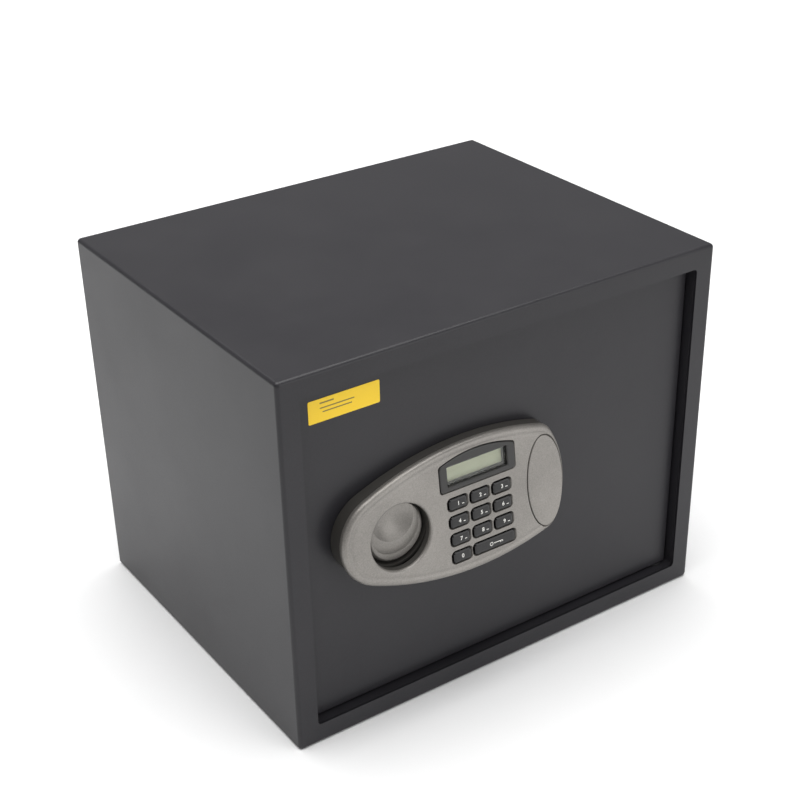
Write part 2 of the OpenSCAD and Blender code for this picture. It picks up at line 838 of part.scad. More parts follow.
// Steel core with a collar below for the spring
module solenoid_plunger() {
  below = 3.5;
  nose_h = 1;
  collar_r = 5.6;
  collar_t = 0.8;
  core_l = 36;
  z = solenoid_z - below;
  color("silver") {
    rod([solenoid_x, solenoid_y, z], "z", plunger_r, core_l);
    rod([solenoid_x, solenoid_y, z - nose_h], "z", plunger_r - 1, nose_h);
    ring([solenoid_x, solenoid_y, z], "z", collar_r, plunger_r, collar_t);
  }
}

// Return spring, squeezed between the frame and the collar
module plunger_spring() {
  coils = 3;
  per_turn = 12;
  wire_r = 0.3;
  mean_r = 4.9;
  z0 = solenoid_z - 2.35;
  rise = 2;
  n = coils * per_turn;
  path = [for (i = [0:n]) [solenoid_x + mean_r * cos(i * 360 / per_turn),
    solenoid_y + mean_r * sin(i * 360 / per_turn), z0 + rise * i / n]];
  color("silver") wire(path, wire_r);
}

// Folded pan over the bolt work, with flanges screwed to the door
module inner_cover() {
  button_hole_r = 4;
  screw_hole_r = 2.2;
  outer_low = [cover_x0, door_back, cover_z0];
  outer_high = [cover_x1, cover_y, cover_z1];
  fold = [cover_t, cover_t, cover_t];
  color("dimgray") difference() {
    union() {
      block(outer_low, outer_high);
      block([cover_x0, door_back, cover_z0 - flange_w], [cover_x1, door_back + cover_t, cover_z1 + flange_w]);
    }
    block(outer_low + [cover_t, -cut, cover_t], outer_high - fold);
    for (z = bolt_zs)
      rod([cover_x0 - cut, bolt_y, z], "x", bolt_r + 1, cover_t + 2 * cut);
    block([box_x, cover_y - cover_t - cut, box_z], [box_x + box_w, cover_y + cut, box_z + box_h]);
    rod([button_x, cover_y - cover_t - cut, button_z], "y", button_hole_r, cover_t + 2 * cut);
    for (x = cover_screw_xs, z = cover_screw_zs)
      rod([x, door_back - cut, z], "y", screw_hole_r, cover_t + 2 * cut);
  }
}

module cover_screws() {
  head_r = 4;
  head_h = 2;
  color("silver") for (x = cover_screw_xs, z = cover_screw_zs) {
    rod([x, door_back, z], "y", 2, cover_t);
    rod([x, door_back + cover_t, z], "y", head_r, head_h);
  }
}

module battery_box() {
  gap = 0.2;
  wall = 1.2;
  color("dimgray") difference() {
    block([box_x + gap, cover_y - box_d, box_z + gap], [box_x + box_w - gap, cover_y, box_z + box_h - gap]);
    block([box_x + wall, cover_y - box_d + wall, box_z + wall],
      [box_x + box_w - wall, cover_y + 1, box_z + box_h - wall]);
  }
}

cell_pitch = 15.6;
cell_z0 = box_z + (box_h - cell_l) / 2;
cell_xs = [for (i = [0:3]) box_x + box_w / 2 + (i - 1.5) * cell_pitch];

// Four cells, laid side by side and turned end for end
module battery_cells() {
  nub_r = 2.7;
  nub_h = 1;
  color("black") for (i = [0:3]) {
    up = i % 2;
    rod([cell_xs[i], cell_y, cell_z0 + (up ? 0 : nub_h)], "z", cell_r, cell_l - nub_h);
    rod([cell_xs[i], cell_y, up ? cell_z0 + cell_l - nub_h : cell_z0], "z", nub_r, nub_h);
  }
}

// Spring-steel strips that join the cells in a row
module battery_contacts() {
  half = 4;
  strip_t = 0.8;
  low = cell_z0 - contact_gap - strip_t;
  high = cell_z0 + cell_l + contact_gap;
  color("silver") {
    for (span = [[0, 1], [2, 3]])
      contact_strip(span, half, low, strip_t);
    for (span = [[0, 0], [1, 2], [3, 3]])
      contact_strip(span, half, high, strip_t);
  }
}

module contact_strip(span, half, z, t) {
  block([cell_xs[span[0]] - half, cell_y - half, z], [cell_xs[span[1]] + half, cell_y + half, z + t]);
}

// Sliding lid over the cells, with grip ribs cut into it
module battery_door() {
  lid_gap = 0.3;
  lid_t = 2;
  overlap = 1;
  rib_pitch = 3;
  rib_w = 1.4;
  face = cover_y + lid_gap + lid_t;
  color("dimgray") difference() {
    block([box_x - overlap, cover_y + lid_gap, box_z - overlap],
      [box_x + box_w + overlap, face, box_z + box_h + overlap]);
    for (i = [0:3])
      block([box_x + 24, face - 0.6, box_z + 42 + i * rib_pitch],
        [box_x + 44, face + cut, box_z + 42 + rib_w + i * rib_pitch]);
  }
}

// Switch body on two legs behind the cover
module reset_switch() {
  body_y0 = -112;
  body_y1 = -106;
  leg_t = 2;
  hole_r = 2.2;
  color("black") difference() {
    union() {
      block([button_x - switch_half, body_y0, button_z - switch_half],
        [button_x + switch_half, body_y1, button_z + switch_half]);
      for (x = [button_x - switch_half, button_x + switch_half - leg_t])
        block([x, body_y1, button_z - switch_half], [x + leg_t, cover_y - cover_t, button_z + switch_half]);
    }
    rod([button_x, body_y1 - 3, button_z], "y", hole_r, 5);
  }
}

module reset_button() {
  cap_y = -104;
  cap_r = 3.5;
  stem_r = 1.9;
  stem_l = 3;
  color("red") {
    rod([button_x, cap_y, button_z], "y", cap_r, cover_y + 2.5 - cap_y);
    rod([button_x, cap_y - stem_l, button_z], "y", stem_r, stem_l);
  }
}

// Leads from the board to the cells, the solenoid and the reset switch
module wiring() {
  color("firebrick") {
    wire(battery_route, 1.6);
    wire(solenoid_route, 1);
    wire(reset_route, 1);
  }
}

// A moulded key cap with a flange that holds it behind the fascia
module key_cap(x, v, w) {
  half_w = w / 2;
  half_h = key_h / 2;
  e = key_flange;
  color("black") {
    face_slab(key_shoulder, key_top)
      polygon(box_outline(x - half_w, v - half_h, x + half_w, v + half_h, key_corner));
    face_slab(key_shoulder - 1, key_shoulder)
      polygon(box_outline(x - half_w - e, v - half_h - e, x + half_w + e, v + half_h + e, key_corner));
  }
}

module number_key(i) {
  key_cap(key_x(i), key_v(i), key_w);
}

cabinet_shell();
back_panel();
hinge_plates();
strike_bar();
floor_mat();
door_plate();
hinge_pins();
hinge_washer();
blank_label();
panel_housing();
fascia();
lcd_bezel();
lcd_window();
lcd_module();
keypad_membrane();
control_board();
panel_screws();
key_cover();
lock_cylinder();
lock_nut();
lock_plug();
lock_cam();
knob();
knob_spindle();
spindle_bush();
spindle_clip();
crank_disc();
lock_base_plate();
base_plate_nuts();
bolt_carriage();
stop_tab();
upper_bolt();
lower_bolt();
bolt_screws();
guide_stud();
solenoid_frame();
solenoid_coil();
solenoid_plunger();
plunger_spring();
inner_cover();
cover_screws();
battery_box();
battery_cells();
battery_contacts();
battery_door();
reset_switch();
reset_button();
wiring();
number_key(0);  // key_1
number_key(1);  // key_2
number_key(2);  // key_3
number_key(3);  // key_4
number_key(4);  // key_5
number_key(5);  // key_6
number_key(6);  // key_7
number_key(7);  // key_8
number_key(8);  // key_9
number_key(9);  // key_0
key_cap(start_x, start_v, start_w);  // key_start
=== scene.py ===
"""In-room safe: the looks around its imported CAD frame. Lengths are in millimetres until they enter a mesh."""

import math

import bmesh
import bpy
from mathutils import Matrix, Vector


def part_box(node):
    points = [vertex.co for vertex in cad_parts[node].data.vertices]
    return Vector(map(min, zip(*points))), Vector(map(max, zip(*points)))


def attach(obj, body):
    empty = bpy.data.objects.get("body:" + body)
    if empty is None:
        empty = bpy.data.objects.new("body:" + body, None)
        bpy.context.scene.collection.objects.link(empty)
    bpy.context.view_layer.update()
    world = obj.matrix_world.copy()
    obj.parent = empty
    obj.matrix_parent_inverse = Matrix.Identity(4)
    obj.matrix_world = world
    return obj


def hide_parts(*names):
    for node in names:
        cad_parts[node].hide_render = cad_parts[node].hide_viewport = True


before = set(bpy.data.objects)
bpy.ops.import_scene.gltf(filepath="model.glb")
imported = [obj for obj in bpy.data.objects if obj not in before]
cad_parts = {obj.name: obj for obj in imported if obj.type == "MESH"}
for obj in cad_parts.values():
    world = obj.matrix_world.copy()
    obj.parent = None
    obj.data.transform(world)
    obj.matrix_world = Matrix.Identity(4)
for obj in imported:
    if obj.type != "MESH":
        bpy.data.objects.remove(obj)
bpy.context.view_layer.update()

MM = 0.001
SMOOTH_ANGLE = math.radians(32)


# ---------------------------------------------------------------- sizes from the frame


def box_mm(node):
    """A CAD node's lowest and highest corner, in millimetres."""
    low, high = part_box(node)
    return low / MM, high / MM


shell_low, shell_high = box_mm("cabinet_shell")
door_low, door_high = box_mm("door_plate")
label_low, label_high = box_mm("blank_label")
knob_low, knob_high = box_mm("knob")
spindle_tip = box_mm("knob_spindle")[0].y
lock_low, lock_high = box_mm("lock_cylinder")
pins_low, pins_high = box_mm("hinge_pins")

SHEET = 2.0
FRAME_W = 16.5
LIP_D = 22.0
DOOR_FACE = door_low.y
DOOR_BACK = door_high.y
KNOB_X = (knob_low.x + knob_high.x) / 2
KNOB_Z = (knob_low.z + knob_high.z) / 2
KNOB_R = (knob_high.x - knob_low.x) / 2
WELL_R = 25.0
WELL_WALL = 2.0

# The sloping face: its slope, and where its centre line stands off the cabinet's middle
TILT = math.radians(7.5)
FACE_Y = -162.0
FACE_Z = 150.0
RIM_D = 5.5
FASCIA_T = 3.0

# Panel outline: four arcs about a level axis, joined by two corner arcs
AXIS_V = 10.8
NOSE = (-117.0, 35.0)
ARCH = (-39.0, 235.0)
END = (-30.0, 72.0)
CORNER_R = 13.0


def on_face(x, v, w=0.0):
    """A point on the sloping face: across, up the slope and out of it."""
    return Vector(
        (
            x,
            FACE_Y + v * math.sin(TILT) - w * math.cos(TILT),
            FACE_Z + v * math.cos(TILT) + w * math.sin(TILT),
        )
    )


def arc(x, y, r, start, end, steps):
    """Points along an arc in degrees, without its last one."""
    turns = [math.radians(start + (end - start) * i / steps) for i in range(steps)]
    return [(x + r * math.cos(t), y + r * math.sin(t)) for t in turns]


def panel_outline(inset, fine=3):
    """The control panel's outline moved inwards, counter-clockwise, as (across, up) pairs."""
    drop = math.sqrt((ARCH[1] - NOSE[1]) ** 2 - (ARCH[0] - NOSE[0]) ** 2)
    from_arch = ARCH[1] - CORNER_R
    from_end = END[1] - CORNER_R
    dx, dy = END[0] - ARCH[0], drop
    span = math.hypot(dx, dy)
    along = (span**2 + from_arch**2 - from_end**2) / (2 * span)
    side = math.sqrt(from_arch**2 - along**2)
    cx = ARCH[0] + (along * dx + side * dy) / span
    cv = -drop + (along * dy - side * dx) / span
    nose = math.degrees(math.atan2(drop, NOSE[0] - ARCH[0]))
    top = math.degrees(math.atan2(cv + drop, cx - ARCH[0]))
    end = math.degrees(math.atan2(cv, cx - END[0]))
    return (
        arc(END[0], AXIS_V, END[1] - inset, -end, end, 10 * fine)
        + arc(cx, AXIS_V + cv, CORNER_R - inset, end, top, 4 * fine)
        + arc(ARCH[0], AXIS_V - drop, ARCH[1] - inset, top, nose, 14 * fine)
        + arc(NOSE[0], AXIS_V, NOSE[1] - inset, nose, 360 - nose, 14 * fine)
        + arc(ARCH[0], AXIS_V + drop, ARCH[1] - inset, 360 - nose, 360 - top, 14 * fine)
        + arc(cx, AXIS_V - cv, CORNER_R - inset, 360 - top, 360 - end, 4 * fine)
    )


def round_box(x0, y0, x1, y1, r, steps=6):
    """A rectangle with round corners, counter-clockwise."""
    return (
        arc(x1 - r, y1 - r, r, 0, 90, steps)
        + [(x1 - r, y1)]
        + arc(x0 + r, y1 - r, r, 90, 180, steps)
        + [(x0, y1 - r)]
        + arc(x0 + r, y0 + r, r, 180, 270, steps)
        + [(x0 + r, y0)]
        + arc(x1 - r, y0 + r, r, 270, 360, steps)
        + [(x1, y0 + r)]
    )


def oval(x, y, rx, ry, steps=96):
    turns = [math.tau * i / steps for i in range(steps)]
    return [(x + rx * math.cos(t), y + ry * math.sin(t)) for t in turns]


# ---------------------------------------------------------------- shared modelling steps


def deselect():
    bpy.ops.object.select_all(action="DESELECT")


def made(name):
    """Names the primitive that was just added and moves its place into its mesh."""
    piece = bpy.context.object
    piece.name = name
    piece.data.name = name
    bpy.ops.object.transform_apply(location=True, rotation=True, scale=True)
    return piece


def box_piece(name, low, high):
    """A cube primitive between two corners, in millimetres."""
    deselect()
    low, high = Vector(low) * MM, Vector(high) * MM
    bpy.ops.mesh.primitive_cube_add(size=1, location=(low + high) / 2)
    bpy.context.object.scale = high - low
    return made(name)


AXIS_TURN = {"x": (0, math.radians(90), 0), "y": (math.radians(-90), 0, 0), "z": (0, 0, 0)}


def rod_piece(name, start, axis, r, length, sides=64):
    """A cylinder primitive that runs towards +X, +Y or +Z, in millimetres."""
    deselect()
    step = {"x": Vector((1, 0, 0)), "y": Vector((0, 1, 0)), "z": Vector((0, 0, 1))}[axis]
    middle = (Vector(start) + step * length / 2) * MM
    bpy.ops.mesh.primitive_cylinder_add(
        vertices=sides, radius=r * MM, depth=length * MM, location=middle, rotation=AXIS_TURN[axis]
    )
    return made(name)


def open_edit(piece):
    deselect()
    bpy.context.view_layer.objects.active = piece
    piece.select_set(True)
    bpy.ops.object.mode_set(mode="EDIT")


def close_edit():
    bpy.ops.object.mode_set(mode="OBJECT")


def loft(name, rings, first_cap=True, last_cap=True):
    """A skin extruded ring by ring: each ring is a list of points in millimetres."""
    deselect()
    bpy.ops.mesh.primitive_circle_add(vertices=len(rings[0]), radius=1)
    piece = made(name)
    open_edit(piece)
    mesh = bmesh.from_edit_mesh(piece.data)
    mesh.verts.ensure_lookup_table()
    loop = list(mesh.verts)
    for point, place in zip(loop, rings[0]):
        point.co = Vector(place) * MM
    bpy.ops.mesh.select_all(action="SELECT")
    if first_cap:
        bpy.ops.mesh.edge_face_add()
        bpy.ops.mesh.select_all(action="SELECT")
    for ring in rings[1:]:
        mesh = bmesh.from_edit_mesh(piece.data)
        mesh.verts.ensure_lookup_table()
        before = len(mesh.verts)
        order = [p.index for p in loop]
        places = {tuple(round(c, 8) for c in mesh.verts[i].co): k for k, i in enumerate(order)}
        bpy.ops.mesh.extrude_edges_move()
        mesh = bmesh.from_edit_mesh(piece.data)
        mesh.verts.ensure_lookup_table()
        fresh = mesh.verts[before:]
        loop = [None] * len(ring)
        for point in fresh:
            k = places[tuple(round(c, 8) for c in point.co)]
            loop[k] = point
        for point, place in zip(loop, ring):
            point.co = Vector(place) * MM
        bmesh.update_edit_mesh(piece.data)
    if last_cap:
        bpy.ops.mesh.edge_face_add()
    bpy.ops.mesh.select_all(action="SELECT")
    bpy.ops.mesh.remove_doubles(threshold=0.0005 * MM)
    bpy.ops.mesh.normals_make_consistent(inside=False)
    close_edit()
    return piece


def spin_piece(name, profile, centre, axis, steps=96):
    """A turned piece: (radius, distance along the axis) pairs taken round the axis, and closed."""
    rings = []
    across = {"x": ("y", "z"), "y": ("z", "x"), "z": ("x", "y")}[axis]
    for r, along in profile:
        ring = []
        for i in range(steps):
            turn = math.tau * i / steps
            point = Vector(centre)
            setattr(point, axis, getattr(point, axis) + along)
            setattr(point, across[0], getattr(point, across[0]) + r * math.cos(turn))
            setattr(point, across[1], getattr(point, across[1]) + r * math.sin(turn))
            ring.append(point)
        rings.append(ring)
    return loft(name, rings)


def modify(piece, kind, **settings):
    """Adds one modifier with its settings and applies it."""
    deselect()
    bpy.context.view_layer.objects.active = piece
    piece.select_set(True)
    modifier = piece.modifiers.new(kind.title(), kind)
    for name, value in settings.items():
        setattr(modifier, name, value)
    bpy.ops.object.modifier_apply(modifier=modifier.name)
    return piece


def combine(piece, other, operation="DIFFERENCE"):
    """Cuts another solid out of a piece, or joins it on, and removes the other."""
    modify(piece, "BOOLEAN", operation=operation, object=other, solver="MANIFOLD")
    bpy.data.objects.remove(other)
    return piece


def soften(piece, width, segments=2, angle=30):
    """Rounds every edge sharper than an angle, in millimetres."""
    return modify(
        piece,
        "BEVEL",
        width=width * MM,
        segments=segments,
        limit_method="ANGLE",
        angle_limit=math.radians(angle),
        harden_normals=False,
    )


def smooth(piece, angle=SMOOTH_ANGLE):
    deselect()
    bpy.context.view_layer.objects.active = piece
    piece.select_set(True)
    bpy.ops.object.shade_smooth_by_angle(angle=angle)
    return modify(piece, "WEIGHTED_NORMAL", keep_sharp=True, weight=80)


def join(name, pieces):
    """Joins pieces into the first and names the result."""
    deselect()
    for piece in pieces:
        piece.select_set(True)
    bpy.context.view_layer.objects.active = pieces[0]
    if len(pieces) > 1:
        bpy.ops.object.join()
    pieces[0].name = name
    pieces[0].data.name = name
    return pieces[0]


def place(piece, body, material, slot, *nodes):
    """Gives a finished piece its material and its body, and hides the CAD nodes that it stands for."""
    piece.data.materials.clear()
    piece.data.materials.append(material)
    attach(piece, body)
    if nodes:
        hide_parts(*nodes)
    return piece


# ---------------------------------------------------------------- materials


def srgb(code):
    """A hex colour as linear red, green, blue and alpha."""
    parts = [int(code[i : i + 2], 16) / 255 for i in (1, 3, 5)]
    linear = [c / 12.92 if c <= 0.04045 else ((c + 0.055) / 1.055) ** 2.4 for c in parts]
    return (*linear, 1.0)


def add(tree, kind, settings=None, links=None):
    """Adds one node: settings are its properties, and links give each input a value or another output."""
    made_node = tree.nodes.new(kind)
    for name, value in (settings or {}).items():
        setattr(made_node, name, value)
    for name, value in (links or {}).items():
        if isinstance(value, bpy.types.NodeSocket):
            tree.links.new(value, made_node.inputs[name])
        else:
            made_node.inputs[name].default_value = value
    return made_node


def per_mm(size):
    """The texture scale that gives features of a size in millimetres."""
    return 1 / (size * MM)


def surface(name, colour, shade, grain, bump, roughness, spread=0.06, **shader):
    """A finish: two close colours mixed by a broad cloud and a fine grain, with a bump and an uneven gloss.

    grain is the size of the fine texture and bump its height, both in millimetres.
    """
    material = bpy.data.materials.new(name)
    material.use_nodes = True
    tree = material.node_tree
    tree.nodes.clear()
    place_node = add(tree, "ShaderNodeTexCoord").outputs["Object"]
    cloud = add(
        tree,
        "ShaderNodeTexNoise",
        links={"Vector": place_node, "Scale": per_mm(70), "Detail": 3.0, "Roughness": 0.6},
    )
    fine = add(
        tree,
        "ShaderNodeTexNoise",
        links={"Vector": place_node, "Scale": per_mm(grain), "Detail": 3.0, "Roughness": 0.65},
    )
    both = add(
        tree,
        "ShaderNodeMix",
        {"data_type": "FLOAT"},
        {"Factor": 0.55, "A": cloud.outputs["Fac"], "B": fine.outputs["Fac"]},
    )
    tint = add(tree, "ShaderNodeValToRGB", links={"Fac": both.outputs["Result"]})
    tint.color_ramp.elements[0].position = 0.3
    tint.color_ramp.elements[0].color = srgb(shade)
    tint.color_ramp.elements[1].position = 0.7
    tint.color_ramp.elements[1].color = srgb(colour)
    gloss = add(
        tree,
        "ShaderNodeMapRange",
        links={
            "Value": both.outputs["Result"],
            "From Min": 0.3,
            "From Max": 0.7,
            "To Min": roughness - spread,
            "To Max": roughness + spread,
        },
    )
    relief = add(
        tree,
        "ShaderNodeBump",
        links={"Height": fine.outputs["Fac"], "Strength": 1.0, "Distance": bump * MM},
    )
    links = {
        "Base Color": tint.outputs["Color"],
        "Roughness": gloss.outputs["Result"],
        "Normal": relief.outputs["Normal"],
    }
    links.update(shader)
    body = add(tree, "ShaderNodeBsdfPrincipled", links=links)
    add(tree, "ShaderNodeOutputMaterial", links={"Surface": body.outputs["BSDF"]})
    return material


# Graphite polyester powder coat, baked on steel: a satin skin with a faint orange peel
powder_coat = surface(
    "satin_graphite_powder_coat", "#2c2b2e", "#222125", 1.1, 0.03, 0.36, **{"Specular IOR Level": 0.33}
)
# Silver flake paint sprayed on moulded ABS: a soft metallic sheen with fine sparkle
silver_paint = surface(
    "silver_flake_paint_on_abs", "#9d9994", "#74716d", 0.9, 0.03, 0.41, Metallic=0.55
)
# Dark ABS from a spark-eroded mould: dull, with a fine even texture
moulded_abs = surface("spark_textured_dark_abs", "#403e3b", "#383633", 0.5, 0.02, 0.5)
# Dark ABS with a smoother moulding, round the display
smooth_abs = surface("smooth_moulded_dark_abs", "#2b2a29", "#242322", 0.6, 0.006, 0.34)
# Black ABS, polished in the mould: deep gloss that mirrors the lights
key_abs = surface("gloss_black_abs", "#0d0c0d", "#080708", 0.8, 0.002, 0.2, 0.04)
# Reflective display glass over its grey-green polariser
display_glass = surface("reflective_lcd_glass", "#e6e9cf", "#dcdfc6", 0.7, 0.0, 0.22, 0.04)
# Yellow vinyl film: even colour with a light satin gloss
label_film = surface("yellow_vinyl_film", "#f8cf14", "#efc610", 0.6, 0.004, 0.34)
# Dark ink printed on the yellow film
label_ink = surface("dark_screen_ink", "#8a7a35", "#7a6b2c", 0.3, 0.002, 0.5)
# White ink pad-printed on the keys
white_ink = surface("white_pad_print", "#e9e8e3", "#dcdbd5", 0.25, 0.002, 0.45)
# Bright turned steel: polished, with a slightly uneven gloss
bright_steel = surface(
    "turned_bright_steel", "#c9c8c6", "#b4b3b1", 0.25, 0.003, 0.24, Metallic=1.0
)
# Zinc-plated sheet: a pale blue-grey metal with cloudy passivation
zinc_plate = surface(
    "zinc_plated_steel", "#bfc1c0", "#a2a5a3", 0.9, 0.004, 0.4, Metallic=1.0
)
# Nickel-plated die casting, as on a cam lock
nickel = surface("nickel_plated_zinc", "#cfcdc8", "#bdbab4", 0.6, 0.001, 0.16, Metallic=1.0)
# Turned brass, slightly dulled
brass = surface("turned_brass", "#c9a85c", "#b08f47", 0.4, 0.003, 0.3, Metallic=1.0)
# Black nylon: waxy, with a low sheen
nylon = surface("black_nylon", "#1e1e1f", "#171718", 0.8, 0.004, 0.45)
# Needled felt: matt dark fibres
felt = surface(
    "needled_grey_felt", "#3a3b3e", "#242527", 0.9, 0.35, 0.95, 0.03, **{"Sheen Weight": 0.3}
)
# Black ABS, lightly textured, for the battery box and its lid
black_abs = surface("textured_black_abs", "#232324", "#1b1b1c", 0.5, 0.015, 0.5)
# Silicone rubber: dark and dull
silicone = surface("grey_silicone_rubber", "#48484a", "#3c3c3e", 0.6, 0.006, 0.6)
# Green lacquer over copper and glass fibre
circuit_board = surface("green_solder_mask", "#1f6a3c", "#164f2c", 1.2, 0.01, 0.3)
# Enamelled copper wire under clear tape
winding = surface("taped_copper_winding", "#a8632e", "#7d4620", 0.4, 0.05, 0.35)
# Shrink film on a dry cell
cell_film = surface("cell_shrink_film", "#24262b", "#191b1f", 1.5, 0.002, 0.22)
# Red ABS, polished in the mould
red_abs = surface("gloss_red_abs", "#b81f1a", "#a31813", 0.7, 0.003, 0.25)
# PVC sleeve of a stranded lead
wire_pvc = surface("red_pvc_sleeve", "#8d2420", "#771c19", 0.6, 0.004, 0.4)


def clear_sheet():
    """Clear acrylic: almost invisible, with a thin reflection."""
    material = bpy.data.materials.new("clear_acrylic")
    material.use_nodes = True
    tree = material.node_tree
    tree.nodes.clear()
    place_node = add(tree, "ShaderNodeTexCoord").outputs["Object"]
    dust = add(
        tree, "ShaderNodeTexNoise", links={"Vector": place_node, "Scale": per_mm(3), "Detail": 4.0}
    )
    gloss = add(
        tree,
        "ShaderNodeMapRange",
        links={"Value": dust.outputs["Fac"], "To Min": 0.02, "To Max": 0.1},
    )
    body = add(
        tree,
        "ShaderNodeBsdfPrincipled",
        links={
            "Base Color": srgb("#f4f6f0"),
            "Roughness": gloss.outputs["Result"],
            "Transmission Weight": 1.0,
            "IOR": 1.49,
        },
    )
    add(tree, "ShaderNodeOutputMaterial", links={"Surface": body.outputs["BSDF"]})
    return material


acrylic = clear_sheet()


# ---------------------------------------------------------------- cabinet


def bore_all(piece, places, axis, r, start, length, sides=48):
    """Drills round holes of one size at several places, all along one axis."""
    for spot in places:
        centre = {"x": (start, *spot), "y": (spot[0], start, spot[1]), "z": (*spot, start)}[axis]
        combine(piece, rod_piece("drill", centre, axis, r, length, sides))
    return piece


ANCHORS = [(x, y) for x in (-120, 120) for y in (-75, 75)]
HINGE_R = 4.0
HINGE = (pins_low.x + HINGE_R, pins_low.y + HINGE_R)


def frame_ring(inset, y, r):
    """A rectangle round the front of the cabinet, moved inwards, with round corners."""
    outline = round_box(shell_low.x + inset, inset, shell_high.x - inset, shell_high.z - inset, r)
    return [Vector((x, y, z)) for x, z in outline]


def cabinet():
    """One folded sheet: the wrap, the front frame and the lips that form the door's recess."""
    front, back = shell_low.y, shell_high.y
    fold, lip_fold = 3.0, 2.2
    lip_end = front + LIP_D
    rings = [(SHEET, back, 1.2), (0.3, back, 2.7), (0, back - 0.3, 3)]
    turns = [math.radians(15 * i) for i in range(7)]
    rings += [
        (
            fold * (1 - math.cos(t)),
            front + fold * (1 - math.sin(t)),
            fold - fold * (1 - math.cos(t)) * 0.6,
        )
        for t in turns
    ]
    rings += [
        (FRAME_W - lip_fold * math.cos(t), front + lip_fold * (1 - math.sin(t)), 3)
        for t in reversed(turns)
    ]
    rings[-1] = (FRAME_W, front + lip_fold, 3)
    rings += [(FRAME_W, lip_end - 0.3, 3), (FRAME_W - 0.3, lip_end, 3.3)]
    rings.append((FRAME_W - SHEET, lip_end, 4))
    rings += [(FRAME_W - SHEET, front + SHEET, 4), (SHEET, front + SHEET, 1.2), (SHEET, back, 1.2)]
    piece = loft("cabinet_wrap", [frame_ring(*ring) for ring in rings], False, False)
    bore_all(piece, ANCHORS, "z", 5, -1, 4)
    bore_all(piece, [HINGE], "z", HINGE_R + 0.05, FRAME_W - 3, 4)
    bore_all(piece, [HINGE], "z", HINGE_R + 0.05, shell_high.z - FRAME_W - 1, 4)
    smooth(piece)
    return place(piece, "cabinet", powder_coat, "powder_steel", "cabinet_shell")


def refine(node, body, material, slot, edge, angle=30):
    """A CAD piece with its edges rounded: a copy of its mesh is merged, cleaned and bevelled."""
    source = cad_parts[node]
    piece = bpy.data.objects.new(node + "_finished", source.data.copy())
    bpy.context.scene.collection.objects.link(piece)
    open_edit(piece)
    bpy.ops.mesh.select_all(action="SELECT")
    bpy.ops.mesh.remove_doubles(threshold=0.002 * MM)
    bpy.ops.mesh.dissolve_limited(angle_limit=math.radians(0.5))
    close_edit()
    if edge:
        soften(piece, edge, 2, angle)
    smooth(piece)
    return place(piece, body, material, slot, node)


# Length of each hinge pin's groove, and where the door is drilled for the key lock and the leads
GROOVE_L = 26.7
LOCK_HOLE = ((lock_low.x + lock_high.x) / 2, (lock_low.z + lock_high.z) / 2)
LEAD_HOLE = (-35.0, 158.0)


def door():
    """The door plate, with its bores and the grooves that the hinge pins lie in."""
    piece = box_piece("door_panel", door_low, door_high)
    soften(piece, 0.7, 3)
    bore_all(piece, [(KNOB_X, KNOB_Z)], "y", 8, DOOR_FACE - 1, 8)
    bore_all(piece, [LOCK_HOLE], "y", 9.5, DOOR_FACE - 1, 8)
    bore_all(piece, [LEAD_HOLE], "y", 6, DOOR_FACE - 1, 8)
    for low, high in (
        (door_low.z - 1, door_low.z + GROOVE_L),
        (door_high.z - GROOVE_L, door_high.z + 1),
    ):
        groove = box_piece(
            "groove", (pins_low.x, pins_low.y, low), (pins_high.x, DOOR_BACK + 1, high)
        )
        combine(piece, groove)
    smooth(piece)
    return place(piece, "door", powder_coat, "powder_steel", "door_plate")


cabinet()
door()

# ---------------------------------------------------------------- control panel


def flat_ring(outline, w):
    return [on_face(x, v, w) for x, v in outline]


BEZEL_X = -35.7
BEZEL_HALF = 33.0
BEZEL_V = (28.4, 48.4)
BEZEL_RISE = 6.0
GLASS = (-62.1, 32.3, -9.5, 47.4)


def bezel_outline(inset):
    """A box whose top edge is a low arch, with small round corners."""
    half = BEZEL_HALF - inset
    r = (half**2 + BEZEL_RISE**2) / (2 * BEZEL_RISE)
    low, high = BEZEL_V[0] + inset, BEZEL_V[1] - inset
    centre_v = high + BEZEL_RISE - r
    corner = 2.6 - inset * 0.5
    lean = math.degrees(math.asin((half - corner) / (r - corner)))
    corner_v = centre_v + (r - corner) * math.cos(math.radians(lean))
    left, right = BEZEL_X - half + corner, BEZEL_X + half - corner
    return (
        arc(right, corner_v, corner, 0, 90 - lean, 6)
        + arc(BEZEL_X, centre_v, r, 90 - lean, 90 + lean, 28)
        + arc(left, corner_v, corner, 90 + lean, 180, 6)
        + arc(BEZEL_X - half + 2.6, low + 2.6, 2.6, 180, 270, 6)
        + arc(BEZEL_X + half - 2.6, low + 2.6, 2.6, 270, 360, 6)
    )


KEY_W, KEY_H = 15.2, 8.6
KEY_PITCH = (19.4, 14.0)
FIRST_KEY = (-55.0, 17.7)
START_W = 36.4
KEY_NAMES = ["1", "2", "3", "4", "5", "6", "7", "8", "9", "0", "start"]


def key_place(i):
    """A key's centre and width on the face."""
    column, row = i % 3, i // 3
    x = FIRST_KEY[0] + column * KEY_PITCH[0]
    if KEY_NAMES[i] == "start":
        return x + KEY_PITCH[0] / 2 + 0.3, FIRST_KEY[1] - row * KEY_PITCH[1], START_W
    return x, FIRST_KEY[1] - row * KEY_PITCH[1], KEY_W


def key_ring(i, grow, w, r=2.0):
    x, v, wide = key_place(i)
    a, b = wide / 2 + grow, KEY_H / 2 + min(grow, 1.0 + grow * 0.1)
    return flat_ring(round_box(x - a, v - b, x + a, v + b, max(r + grow, 0.3)), w)


COVER_X, COVER_V, COVER_RX, COVER_RV = 23.6, 8.2, 16.0, 36.5
KNOB_V = (KNOB_Z - FACE_Z) / math.cos(TILT)


def well_ring(r, w, steps=120):
    return flat_ring(oval(KNOB_X, KNOB_V, r, r, steps), w)


